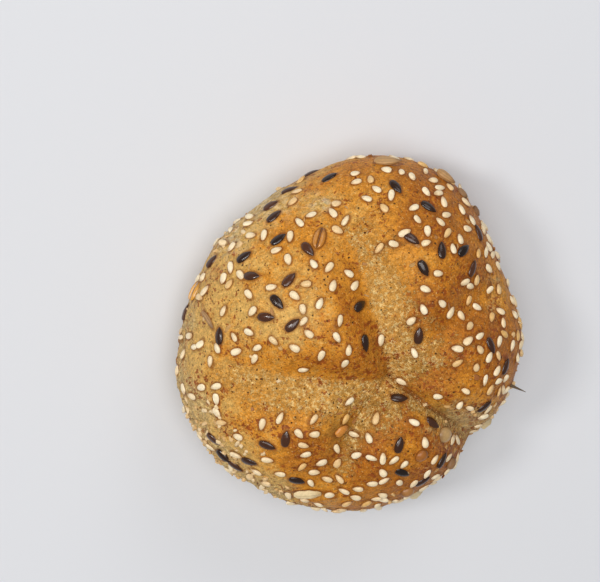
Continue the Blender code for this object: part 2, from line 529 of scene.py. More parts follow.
class Net:
    """A short way to lay out a material's nodes."""

    def __init__(self, name: str) -> None:
        """Starts a material with one Principled shader.

        Args:
            name: The material's name.
        """
        self.material = bpy.data.materials.new(name)
        self.material.use_nodes = True
        self.tree = self.material.node_tree
        self.shader = self.tree.nodes["Principled BSDF"]
        self.places = self.tree.nodes.new("ShaderNodeTexCoord").outputs["Object"]

    def link(self, value: object, socket: bpy.types.NodeSocket) -> None:
        """Feeds a socket.

        Args:
            value: A node's output to link to the socket, or a value to set on it.
            socket: The socket.
        """
        if isinstance(value, bpy.types.NodeSocket):
            self.tree.links.new(value, socket)
        elif isinstance(value, tuple) and len(value) == 3 and socket.type == "RGBA":
            socket.default_value = (*value, 1.0)
        else:
            socket.default_value = value

    def math(self, kind: str, first: object, second: object = 0.0, third: object = 0.0) -> Socket:
        """Works out one sum.

        Args:
            kind: The Math node's operation.
            first: The first number.
            second: The second number.
            third: The third number.

        Returns:
            The result.
        """
        node = self.tree.nodes.new("ShaderNodeMath")
        node.operation = kind
        for socket, value in zip(node.inputs, (first, second, third)):
            self.link(value, socket)
        return node.outputs[0]

    def rise(self, value: object, low: float, high: float) -> Socket:
        """Maps a value to a smooth rise.

        Args:
            value: The value.
            low: Where the rise starts, at 0.
            high: Where it ends, at 1.

        Returns:
            The mapped value.
        """
        node = self.tree.nodes.new("ShaderNodeMapRange")
        node.interpolation_type = "SMOOTHSTEP"
        for name, given in (("Value", value), ("From Min", low), ("From Max", high)):
            self.link(given, node.inputs[name])
        return node.outputs["Result"]

    def mix(self, share: object, first: object, second: object, kind: str = "MIX") -> Socket:
        """Mixes two colours.

        Args:
            share: The second colour's share.
            first: The first colour.
            second: The second colour.
            kind: The way they are mixed.

        Returns:
            The mixed colour.
        """
        node = self.tree.nodes.new("ShaderNodeMix")
        node.data_type = "RGBA"
        node.blend_type = kind
        self.link(share, node.inputs["Factor"])
        self.link(first, node.inputs[6])
        self.link(second, node.inputs[7])
        return node.outputs[2]

    def mark(self, name: str) -> Socket:
        """Reads a number stored at the mesh's points.

        Args:
            name: The number's name.

        Returns:
            The number.
        """
        node = self.tree.nodes.new("ShaderNodeAttribute")
        node.attribute_name = name
        return node.outputs["Fac"]

    def noise(self, size: float, detail: float = 3.0, places: object = None) -> Socket:
        """Lays out noise.

        Args:
            size: The size of its lumps.
            detail: How many finer layers it has.
            places: Places to read, the mesh's own if left out.

        Returns:
            The noise, from 0 to 1.
        """
        node = self.tree.nodes.new("ShaderNodeTexNoise")
        self.link(places or self.places, node.inputs["Vector"])
        node.inputs["Scale"].default_value = 1.0 / size
        node.inputs["Detail"].default_value = detail
        return node.outputs["Fac"]

    def warped(self, size: float, reach: float) -> Socket:
        """Pushes the places about by noise, so that spots aren't round.

        Args:
            size: The size of the noise's lumps.
            reach: How far it pushes.

        Returns:
            The pushed places.
        """
        node = self.tree.nodes.new("ShaderNodeTexNoise")
        self.link(self.places, node.inputs["Vector"])
        node.inputs["Scale"].default_value = 1.0 / size
        scaled = self.tree.nodes.new("ShaderNodeVectorMath")
        scaled.operation = "MULTIPLY_ADD"
        self.link(node.outputs["Color"], scaled.inputs[0])
        scaled.inputs[1].default_value = (reach, reach, reach)
        self.link(self.places, scaled.inputs[2])
        return scaled.outputs[0]

    def specks(self, cell: float, reach: float, share: float, places: object = None) -> Socket:
        """Scattered specks: about one in a cell's volume, in only a share of the cells.

        Args:
            cell: The spacing of the specks.
            reach: How far a speck reaches from its middle.
            share: The share of cells that hold a speck.
            places: Places to read, the mesh's own if left out.

        Returns:
            1 on the specks and 0 elsewhere.
        """
        node = self.tree.nodes.new("ShaderNodeTexVoronoi")
        self.link(places or self.places, node.inputs["Vector"])
        node.inputs["Scale"].default_value = 1.0 / cell
        split = self.tree.nodes.new("ShaderNodeSeparateColor")
        self.link(node.outputs["Color"], split.inputs[0])
        chosen = self.math("LESS_THAN", split.outputs[0], share)
        size = self.math("MULTIPLY_ADD", split.outputs[1], 0.6 * reach / cell, 0.4 * reach / cell)
        close = self.math("SUBTRACT", size, node.outputs["Distance"])
        inside = self.rise(close, -0.12 * reach / cell, 0.25 * reach / cell)
        return self.math("MULTIPLY", inside, chosen)

    def bump(self, height: object, distance: float, strength: float) -> Socket:
        """Lays out a bump.

        Args:
            height: The height, as a number.
            distance: The height that 1 stands for.
            strength: How strongly it shows.

        Returns:
            The bumped normal.
        """
        node = self.tree.nodes.new("ShaderNodeBump")
        node.inputs["Strength"].default_value = strength
        node.inputs["Distance"].default_value = distance
        self.link(height, node.inputs["Height"])
        return node.outputs[0]

    def finish(self, colour: object, roughness: object, normal: object = None) -> bpy.types.Material:
        """Feeds the shader.

        Args:
            colour: The surface's colour.
            roughness: Its roughness.
            normal: Its bumped normal, if it has one.

        Returns:
            The finished material.
        """
        self.link(colour, self.shader.inputs["Base Color"])
        self.link(roughness, self.shader.inputs["Roughness"])
        if normal is not None:
            self.link(normal, self.shader.inputs["Normal"])
        return self.material


@dataclass(frozen=True)
class CrustFinish:
    """The baked crust: golden brown, floury in the creases, pale low on two sides, with bran flecks and
    painted shade and light.
    """

    light: Colour = (0.66, 0.385, 0.100)
    golden: Colour = (0.64, 0.255, 0.022)
    brown: Colour = (0.44, 0.145, 0.010)
    dark: Colour = (0.22, 0.060, 0.006)
    floury: Colour = (0.58, 0.305, 0.068)
    pale: Colour = (0.53, 0.355, 0.140)
    # The colour of the painted shade in the deep creases.
    olive_shade: Colour = (0.32, 0.165, 0.028)
    bran: Colour = (0.28, 0.062, 0.006)
    pinhole: Colour = (0.045, 0.016, 0.005)
    flour: Colour = (0.86, 0.640, 0.275)
    flaking: Colour = (0.78, 0.630, 0.390)
    under: Colour = (0.46, 0.230, 0.070)

    def material(self) -> bpy.types.Material:
        """Builds the crust's material.

        Returns:
            The material.
        """
        net = Net("baked_crust")
        broad, middle = net.noise(15 * MM, 2), net.noise(4.0 * MM, 4)
        fine, grit = net.noise(0.8 * MM, 4), net.noise(0.38 * MM, 2)
        warped = net.warped(0.7 * MM, 0.9 * MM)
        dusty = self.dusty(net, fine, middle)
        side = net.math("MULTIPLY_ADD", net.math("SUBTRACT", middle, 0.5), 1.1, net.mark("pale"))
        side = net.rise(net.math("MULTIPLY_ADD", net.math("SUBTRACT", fine, 0.5), 0.7, side), 0.25, 1.0)
        loose = net.math("MAXIMUM", dusty, side)
        colour = self.baked(net, broad, middle, fine)
        colour = net.mix(net.math("MULTIPLY", dusty, 0.75), colour, self.floury)
        # Greenish-brown painted shade in the deep creases.
        colour = net.mix(net.math("MULTIPLY", net.mark("olive_shade"), 0.62), colour, self.olive_shade)
        colour = net.mix(net.math("MULTIPLY", side, 0.8), colour, self.pale)
        colour = net.mix(net.mark("under"), colour, net.mix(middle, self.under, self.brown))
        # Painted shade: the bottoms of the creases darkened.
        colour = net.mix(net.math("MULTIPLY", net.rise(net.mark("fold"), 0.0, 1.0), 0.75), colour, self.dark)
        colour = self.blotched(net, colour, warped)
        colour = self.floured(net, colour, warped, loose)
        flakes = net.rise(net.noise(1.8 * MM, 4, warped), 0.48, 0.56)
        flakes = net.math("MULTIPLY", flakes, net.math("MULTIPLY", net.mark("torn"), 0.85))
        colour = net.mix(flakes, colour, self.flaking)
        grain = net.math("MULTIPLY_ADD", net.rise(net.noise(1.3 * MM, 4), 0.32, 0.68), 0.38, 0.61)
        contrast = net.math("MULTIPLY_ADD", net.rise(grit, 0.32, 0.68), 0.40, grain)
        colour = net.mix(1.0, colour, contrast, "MULTIPLY")
        holes = net.specks(1.25 * MM, 0.29 * MM, 0.45, warped)
        colour = net.mix(net.math("MULTIPLY", holes, 0.9), colour, self.pinhole)
        # Painted contact shadow round each seed.
        colour = net.mix(net.math("MULTIPLY", net.mark("seat"), 0.8), colour, self.dark)
        skin = net.math("MULTIPLY_ADD", grit, 0.5, net.math("MULTIPLY", middle, 0.6))
        skin = net.math("SUBTRACT", skin, net.math("MULTIPLY", holes, 0.9))
        skin = net.math("MULTIPLY_ADD", net.math("MULTIPLY", fine, loose), 1.5, skin)
        rough = net.math("MULTIPLY_ADD", dusty, 0.20, net.math("MULTIPLY_ADD", fine, 0.3, 0.38))
        net.shader.inputs["Specular IOR Level"].default_value = 0.22
        return net.finish(colour, rough, net.bump(skin, 0.38 * MM, 0.9))

    def baked(self, net: Net, broad: object, middle: object, fine: object) -> Socket:
        """Colours the crust from pale gold to dark brown as it is baked, darker where painted shade lies and
        lighter where painted light lies.

        Args:
            net: The material's nodes.
            broad: Noise with broad lumps.
            middle: Noise with middling lumps.
            fine: Noise with fine lumps.

        Returns:
            The colour.
        """
        tone = net.math("MULTIPLY_ADD", broad, 0.60, net.math("MULTIPLY", middle, 0.55))
        tone = net.math("MULTIPLY_ADD", net.math("SUBTRACT", fine, 0.5), 0.45, tone)
        # The mark adds the baking, with painted shade to the right and painted light to the left.
        tone = net.math("ADD", tone, net.mark("bake_and_shade"))
        colour = net.mix(net.rise(tone, 0.28, 0.62), self.light, self.golden)
        colour = net.mix(net.rise(tone, 0.55, 0.90), colour, self.brown)
        return net.mix(net.rise(tone, 0.92, 1.4), colour, self.dark)

    def dusty(self, net: Net, fine: object, middle: object) -> Socket:
        """Finds how floury each place is: the creases, with torn and grainy edges.

        Args:
            net: The material's nodes.
            fine: Noise with fine lumps.
            middle: Noise with middling lumps.

        Returns:
            1 where it is all flour and 0 where there is none.
        """
        dust = net.mark("dust")
        grain = net.math("MULTIPLY_ADD", net.math("SUBTRACT", fine, 0.5), 1.6, dust)
        grain = net.math("MULTIPLY_ADD", net.math("SUBTRACT", middle, 0.5), 1.5, grain)
        return net.math("MULTIPLY", net.rise(grain, 0.20, 0.95), net.rise(dust, 0.02, 0.25))

    def blotched(self, net: Net, colour: object, warped: object) -> Socket:
        """Adds reddish-brown bran: soft clouds and sharp blotches, thickest along the lobes' edges.

        Args:
            net: The material's nodes.
            colour: The colour so far.
            warped: Places pushed about by noise.

        Returns:
            The colour with bran.
        """
        patch = net.math("MAXIMUM", net.rise(net.noise(8 * MM, 2), 0.47, 0.62), net.mark("edge"))
        patch = net.math("MULTIPLY", patch, net.mark("bran"))
        cloud = net.rise(net.noise(2.6 * MM, 4), 0.45, 0.70)
        colour = net.mix(net.math("MULTIPLY", cloud, net.math("MULTIPLY", patch, 0.55)), colour, self.brown)
        for size, low, strength in ((1.8 * MM, 0.65, 0.9), (0.8 * MM, 0.655, 0.85)):
            blotch = net.noise(size, 3, net.warped(1.6 * size, 1.4 * size))
            thick = net.math("MULTIPLY_ADD", patch, 0.095, blotch)
            thick = net.math("MULTIPLY_ADD", net.mark("bran"), 0.03, net.math("SUBTRACT", thick, 0.035))
            sharp = net.rise(thick, low, low + 0.035)
            colour = net.mix(net.math("MULTIPLY", sharp, strength), colour, self.bran)
        flecks = net.specks(3.0 * MM, 0.70 * MM, 0.45, warped)
        colour = net.mix(net.math("MULTIPLY", flecks, 0.7), colour, self.bran)
        freckles = net.specks(1.5 * MM, 0.34 * MM, 0.45, warped)
        return net.mix(net.math("MULTIPLY", freckles, 0.65), colour, self.bran)

    def floured(self, net: Net, colour: object, warped: object, floury: object) -> Socket:
        """Adds pale specks everywhere, and pale wisps where the crust is floury.

        Args:
            net: The material's nodes.
            colour: The colour so far.
            warped: Places pushed about by noise.
            floury: How floury each place is.

        Returns:
            The colour with flour.
        """
        speckle = net.rise(net.noise(0.55 * MM, 2), 0.62, 0.70)
        strength = net.math("MULTIPLY_ADD", floury, 0.3, 0.35)
        colour = net.mix(net.math("MULTIPLY", speckle, strength), colour, self.flour)
        for size in (1.0 * MM, 2.2 * MM):
            wisp = net.math("ABSOLUTE", net.math("SUBTRACT", net.noise(size, 4, warped), 0.5))
            wisp = net.math("SUBTRACT", 1.0, net.rise(wisp, 0.004, 0.05))
            broken = net.rise(net.noise(1.1 * MM, 2, warped), 0.42, 0.58)
            wisp = net.math("MULTIPLY", net.math("MULTIPLY", wisp, broken), net.rise(floury, 0.15, 0.8))
            colour = net.mix(net.math("MULTIPLY", wisp, 0.65), colour, self.flour)
        return colour


@dataclass(frozen=True)
class SeedFinish:
    """A seed's or grain's skin, read from its own marks: along the seed, a tint of its own, and painted shade
    low near the crust.
    """

    name: str
    pale: Colour
    deep: Colour
    tip: Colour
    roughness: float
    streak: float = 0.0
    speckle: float = 0.0
    gloss: float = 0.5

    def material(self) -> bpy.types.Material:
        """Builds the skin's material.

        Returns:
            The material.
        """
        net = Net(self.name)
        tint, along = net.mark("tint"), net.mark("length_share")
        colour = net.mix(tint, self.pale, self.deep)
        end = net.rise(along, 0.62, 1.0)
        colour = net.mix(net.math("MULTIPLY", end, 0.6), colour, self.tip)
        # Painted shade: the seed's sides near the crust darker.
        colour = net.mix(net.math("MULTIPLY", net.mark("low"), 0.75), colour, self.tip)
        cloudy = net.noise(0.7 * MM, 3)
        colour = net.mix(1.0, colour, net.math("MULTIPLY_ADD", cloudy, 0.5, 0.75), "MULTIPLY")
        if self.streak:
            lines = net.math("SINE", net.math("MULTIPLY", net.mark("round_share"), 2 * math.pi * 9))
            lines = net.math("MULTIPLY", net.rise(lines, 0.2, 1.0), self.streak)
            colour = net.mix(lines, colour, self.tip)
        if self.speckle:
            specks = net.math("MULTIPLY", net.specks(0.5 * MM, 0.14 * MM, 0.5), self.speckle)
            colour = net.mix(specks, colour, self.tip)
        net.shader.inputs["Specular IOR Level"].default_value = self.gloss
        height = net.math("ADD", net.noise(0.25 * MM, 2), net.math("MULTIPLY", cloudy, 0.6))
        return net.finish(colour, self.roughness, net.bump(height, 0.06 * MM, 0.5))


class Grain(Enum):
    """The kinds of seed and grain on the crust."""

    FLAX = "flax"
    SESAME = "sesame"
    SUNFLOWER = "sunflower"
    WHEAT = "wheat"
    BRAN = "bran"
    OAT = "oat"
    BARLEY = "barley"
    RYE = "rye"
    MILLET = "millet"
    FLAKE = "grain"
    CRUMB = "crumb"
    HUSK = "husk"
    STRAW = "straw"


@dataclass(frozen=True)
class GrainForm:
    """How a kind of grain departs from a plain lens.

    point narrows one end and sharp keeps that to the very tip. blunt fills out both ends. ridges run along
    it, and a groove splits its upper face. lumps and ragged roughen it, and curl bends it across. sink is the
    share of its thickness below the crust.
    """

    point: float = 0.5
    sharp: float = 2.0
    blunt: float = 0.5
    ridges: int = 0
    ridge_depth: float = 0.0
    groove: float = 0.0
    lumps: float = 0.0
    ragged: float = 0.0
    curl: float = 0.0
    sink: float = 0.4
    groove_width: float = 0.10
    around: int = 20
    rings: int = 15

    def shape(self, length: float, width: float, thickness: float, noise: Noise, seed: int) -> "GrainMesh":
        """Builds one grain, its point towards +X and its upper face towards +Z.

        Args:
            length: The grain's length.
            width: Its width.
            thickness: Its thickness.
            noise: The noise that roughens it.
            seed: A number that makes this grain differ from the next.

        Returns:
            The grain's points, faces and marks.
        """
        turn = np.linspace(0, 2 * math.pi, self.around, endpoint=False)
        walk = np.linspace(0, math.pi, self.rings + 2)[1:-1]
        walk_all, turn_all = (grid.ravel() for grid in np.meshgrid(walk, turn, indexing="ij"))
        share = 0.5 - 0.5 * np.cos(walk_all)
        girth = np.sin(walk_all) ** self.blunt_power() * (1 - self.point * share**self.sharp)
        ridge = 1 + self.ridge_depth * np.cos(self.ridges * turn_all)
        across = np.cos(turn_all) * girth * ridge
        rise = np.sin(turn_all) * girth * ridge
        points = np.column_stack([share - 0.5, across * 0.5, rise * 0.5]) * [length, width, thickness]
        ends = np.array([[-0.5 * length, 0, 0], [0.5 * length, 0, 0]])
        points = np.vstack([points, ends])
        share = np.concatenate([share, [0.0, 1.0]])
        around_share = np.concatenate([turn_all / (2 * math.pi), [0.25, 0.25]])
        seam = np.zeros(len(points))
        if self.groove:
            upper = np.clip(points[:, 2] / (0.5 * thickness), 0, 1)
            seam = np.exp(-((points[:, 1] / (self.groove_width * width)) ** 2)) * upper
        points[:, 2] -= seam * self.groove * thickness
        self.roughen(points, width, thickness, noise, seed)
        return GrainMesh(points, self.net(), share, around_share, points[:, 2] / thickness + 0.5 - seam)

    def roughen(self, points: Array, width: float, thickness: float, noise: Noise, seed: int) -> None:
        """Gives a grain's points their lumps, ragged rim and curl.

        Args:
            points: The grain's points, moved in place.
            width: The grain's width.
            thickness: Its thickness.
            noise: The noise that roughens it.
            seed: A number that makes this grain differ from the next.
        """
        offset = points + np.array([seed * 0.0071, seed * 0.0037, seed * 0.0053])
        if self.lumps:
            points *= (1 + self.lumps * noise.layered(offset, 0.45 * width, 2))[:, None]
        if self.ragged:
            points[:, 1] *= 1 + self.ragged * noise.layered(offset, 0.25 * width, 2)
            points[:, 2] += self.ragged * thickness * noise.at(offset, 0.5 * width)
        points[:, 2] += self.curl * thickness * ((points[:, 1] / (0.5 * width)) ** 2 - 0.3)

    def blunt_power(self) -> float:
        """The power that makes the ends blunt or sharp."""
        return 1.0 - self.blunt * 0.5

    def net(self) -> Array:
        """Lays out the faces: rings of four-sided ones, and a fan of three-sided ones at each end.

        Returns:
            Four point numbers for each face, the last repeating the first on a three-sided one.
        """
        faces: list[list[int]] = []
        last = self.rings * self.around
        for ring in range(self.rings - 1):
            for step in range(self.around):
                here, there = ring * self.around + step, ring * self.around + (step + 1) % self.around
                faces.append([here, here + self.around, there + self.around, there])
        for step in range(self.around):
            there = (step + 1) % self.around
            faces.append([last, step, there, last])
            far = last - self.around
            faces.append([last + 1, far + there, far + step, last + 1])
        return np.array(faces)


@dataclass
class GrainMesh:
    """The points and faces of one grain or of many joined into one piece, with their marks."""

    points: Array
    faces: Array
    length_share: Array
    round_share: Array
    height_share: Array

    def placed(self, frame: Matrix) -> "GrainMesh":
        """Moves and turns a copy.

        Args:
            frame: Where the copy's own axes go.

        Returns:
            The copy.
        """
        turned = np.array(frame.to_3x3())
        points = self.points @ turned.T + np.array(frame.translation)
        return GrainMesh(points, self.faces, self.length_share, self.round_share, self.height_share)

    def build(self, name: str, tint: Array, low: Array) -> bpy.types.Object:
        """Makes the object.

        Args:
            name: The piece's name.
            tint: Each point's tint.
            low: How close each point is to the crust, which the skin darkens as painted shade.

        Returns:
            The new object.
        """
        marks = {"length_share": self.length_share, "round_share": self.round_share, "tint": tint, "low": low}
        faces = [face[:3] if face[0] == face[3] else face for face in self.faces.tolist()]
        return make_mesh(name, self.points, faces, marks)


FORMS: dict[Grain, GrainForm] = {
    Grain.FLAX: GrainForm(point=0.72, sharp=4.0, blunt=0.8, sink=0.35),
    Grain.SESAME: GrainForm(point=0.45, sharp=2.2, blunt=0.5, sink=0.24, around=12, rings=9),
    Grain.SUNFLOWER: GrainForm(
        point=0.6, blunt=0.4, ridges=7, ridge_depth=0.05, lumps=0.05, sink=-0.05, around=42
    ),
    Grain.WHEAT: GrainForm(point=0.2, blunt=0.4, groove=0.55, lumps=0.02, sink=0.2, around=48),
    Grain.BRAN: GrainForm(point=0.3, blunt=0.6, curl=-0.9, ragged=0.12, sink=0.0, around=28),
    Grain.OAT: GrainForm(point=0.2, blunt=0.7, ridges=5, ridge_depth=0.08, ragged=0.2, sink=-0.1, around=40),
    Grain.BARLEY: GrainForm(point=0.2, blunt=0.7, lumps=0.14, sink=0.2),
    Grain.RYE: GrainForm(point=0.0, blunt=0.1, lumps=0.04, sink=0.3, around=28),
    Grain.MILLET: GrainForm(point=0.3, blunt=0.6, lumps=0.10, sink=0.15),
    Grain.FLAKE: GrainForm(point=0.1, blunt=0.8, ragged=0.25, curl=0.5, sink=-0.1, around=28),
    Grain.CRUMB: GrainForm(point=0.1, blunt=0.8, lumps=0.35, ragged=0.3, sink=0.35, around=10, rings=6),
    Grain.HUSK: GrainForm(point=0.4, blunt=0.7, ragged=0.3, curl=0.8, sink=0.25, around=10, rings=6),
    Grain.STRAW: GrainForm(point=0.75, sharp=1.5, blunt=0.6, lumps=0.03, sink=0.5, around=10),
}

FINISHES: dict[Grain, SeedFinish] = {
    Grain.FLAX: SeedFinish(
        "flax_skin", (0.012, 0.006, 0.004), (0.085, 0.028, 0.011), (0.040, 0.014, 0.006), 0.17, gloss=0.55
    ),
    Grain.SESAME: SeedFinish("sesame_skin", (0.98, 0.84, 0.58), (0.80, 0.48, 0.16), (0.52, 0.25, 0.06), 0.36),
    Grain.SUNFLOWER: SeedFinish(
        "sunflower_skin", (0.56, 0.34, 0.14), (0.44, 0.22, 0.07), (0.16, 0.07, 0.03), 0.40, streak=0.35
    ),
    Grain.WHEAT: SeedFinish(
        "wheat_skin", (0.74, 0.36, 0.05), (0.56, 0.22, 0.03), (0.10, 0.03, 0.01), 0.25, gloss=0.8
    ),
    Grain.BRAN: SeedFinish(
        "bran_skin", (0.55, 0.36, 0.17), (0.35, 0.18, 0.07), (0.14, 0.07, 0.03), 0.5, streak=0.5
    ),
    Grain.OAT: SeedFinish(
        "oat_skin", (0.92, 0.78, 0.50), (0.84, 0.64, 0.34), (0.50, 0.30, 0.10), 0.5, streak=0.35
    ),
    Grain.BARLEY: SeedFinish(
        "barley_skin", (0.74, 0.36, 0.07), (0.62, 0.22, 0.03), (0.22, 0.07, 0.02), 0.3, speckle=0.3, gloss=0.6
    ),
    Grain.RYE: SeedFinish(
        "rye_skin", (0.54, 0.35, 0.15), (0.38, 0.13, 0.022), (0.12, 0.04, 0.01), 0.30, speckle=0.4, gloss=0.4
    ),
    Grain.MILLET: SeedFinish(
        "millet_skin", (0.32, 0.17, 0.07), (0.22, 0.10, 0.04), (0.10, 0.05, 0.02), 0.5, speckle=0.3
    ),
    Grain.FLAKE: SeedFinish(
        "flake_skin", (0.80, 0.68, 0.44), (0.66, 0.50, 0.26), (0.45, 0.28, 0.12), 0.5, speckle=0.2
    ),
    Grain.CRUMB: SeedFinish("crumb_skin", (0.90, 0.70, 0.42), (0.70, 0.42, 0.15), (0.66, 0.42, 0.18), 0.7),
    Grain.HUSK: SeedFinish("husk_skin", (0.62, 0.36, 0.12), (0.34, 0.11, 0.02), (0.26, 0.08, 0.02), 0.5),
    Grain.STRAW: SeedFinish(
        "straw_skin", (0.13, 0.08, 0.035), (0.08, 0.045, 0.02), (0.05, 0.028, 0.012), 0.6
    ),
}


@dataclass(frozen=True)
class Patch:
    """A soft oval patch on the crust, placed across and up as seen along the fall."""

    across_mm: float
    up_mm: float
    wide_mm: float
    high_mm: float
    strength: float = 1.0

    def on(self, spread: Array) -> Array:
        """How strongly the patch shows at each place.

        Args:
            spread: Places across and up, in millimetres.

        Returns:
            The patch's strength at its middle, falling to 0 outside.
        """
        across = (spread[:, 0] - self.across_mm) / self.wide_mm
        up = (spread[:, 1] - self.up_mm) / self.high_mm
        return self.strength * np.exp(-(across**2) - up**2)


def overlaid(patches: tuple[Patch, ...], spread: Array) -> Array:
    """How strongly patches show together at each place."""
    return sum(patch.on(spread) for patch in patches)


@dataclass(frozen=True)
class CrustPatches:
    """Where the crust departs from an evenly baked, evenly lit look.

    torn is pale ragged skin. gully is the pale hollow between two lobes, near_rim the pale rim below it, and
    wall the pale side where the next roll touched. toasted places are baked darker. painted_sheen_and_lighter
    holds a painted sheen on the big lobe's top and a lighter place by the hub. unshaded keeps the
    greenish-brown painted shade of the creases off, and shaded adds it. sifted adds flour, and swept takes it
    away. plain has little bran.
    """

    torn: tuple[Patch, ...] = (
        Patch(-24, 37, 8, 5, 0.8),
        Patch(-34, 28, 6, 6, 0.8),
        Patch(-7, 36, 3.5, 2, 0.7),
    )
    gully: tuple[Patch, ...] = (Patch(34, -24, 13, 7, 0.9), Patch(42, 12, 6, 9, 0.6))
    near_rim: tuple[Patch, ...] = (Patch(27, -41, 15, 9, 0.75),)
    wall: tuple[Patch, ...] = (Patch(-42, -22, 6, 9), Patch(-35, -34, 8, 6), Patch(-23, -43, 9, 5))
    toasted: tuple[Patch, ...] = (
        Patch(-8, -31, 14, 9, 0.22),
        Patch(31, 3, 9, 5, 0.18),
        Patch(19, 38, 10, 11, 0.20),
        Patch(3, -32, 7, 5, 0.16),
    )
    # A painted sheen on the big lobe's top, and a lighter place by the hub.
    painted_sheen_and_lighter: tuple[Patch, ...] = (Patch(-17, 8, 13, 11, 0.22), Patch(13, -18, 8, 9, 0.12))
    # Places kept free of the painted crease shade.
    unshaded: tuple[Patch, ...] = (Patch(6, -11, 9, 7, 0.8), Patch(35, -27, 11, 9, 0.7))
    shaded: tuple[Patch, ...] = (
        Patch(8, -20, 5, 4, 0.7),
        Patch(1, -26, 6, 4, 0.7),
        Patch(26, -20, 6, 4, 0.7),
    )
    sifted: tuple[Patch, ...] = (Patch(25, -4, 13, 10, 0.42), Patch(10, -25, 7, 6, 0.35))
    swept: tuple[Patch, ...] = (Patch(14, -15, 6, 5, 0.15), Patch(31, 3, 6, 4, 0.25))
    plain: tuple[Patch, ...] = (Patch(-16, 12, 14, 12, 0.75), Patch(-20, 34, 16, 12, 0.5))


@dataclass
class Seat:
    """Where one seed lies on the crust."""

    place: Vector
    normal: Vector
    heading: Vector
    length: float
    width: float
    thickness: float
    kind: Grain

    def frame(self) -> Matrix:
        """Stands the seed's own axes on the crust.

        Returns:
            The seed's frame: +X along it, +Z out of the crust, sunk by its kind's share.
        """
        along = (self.heading - self.normal * self.heading.dot(self.normal)).normalized()
        turned = Matrix((along, self.normal.cross(along), self.normal)).transposed()
        lift = self.thickness * (0.5 - FORMS[self.kind].sink)
        return Matrix.Translation(self.place + self.normal * lift) @ turned.to_4x4()


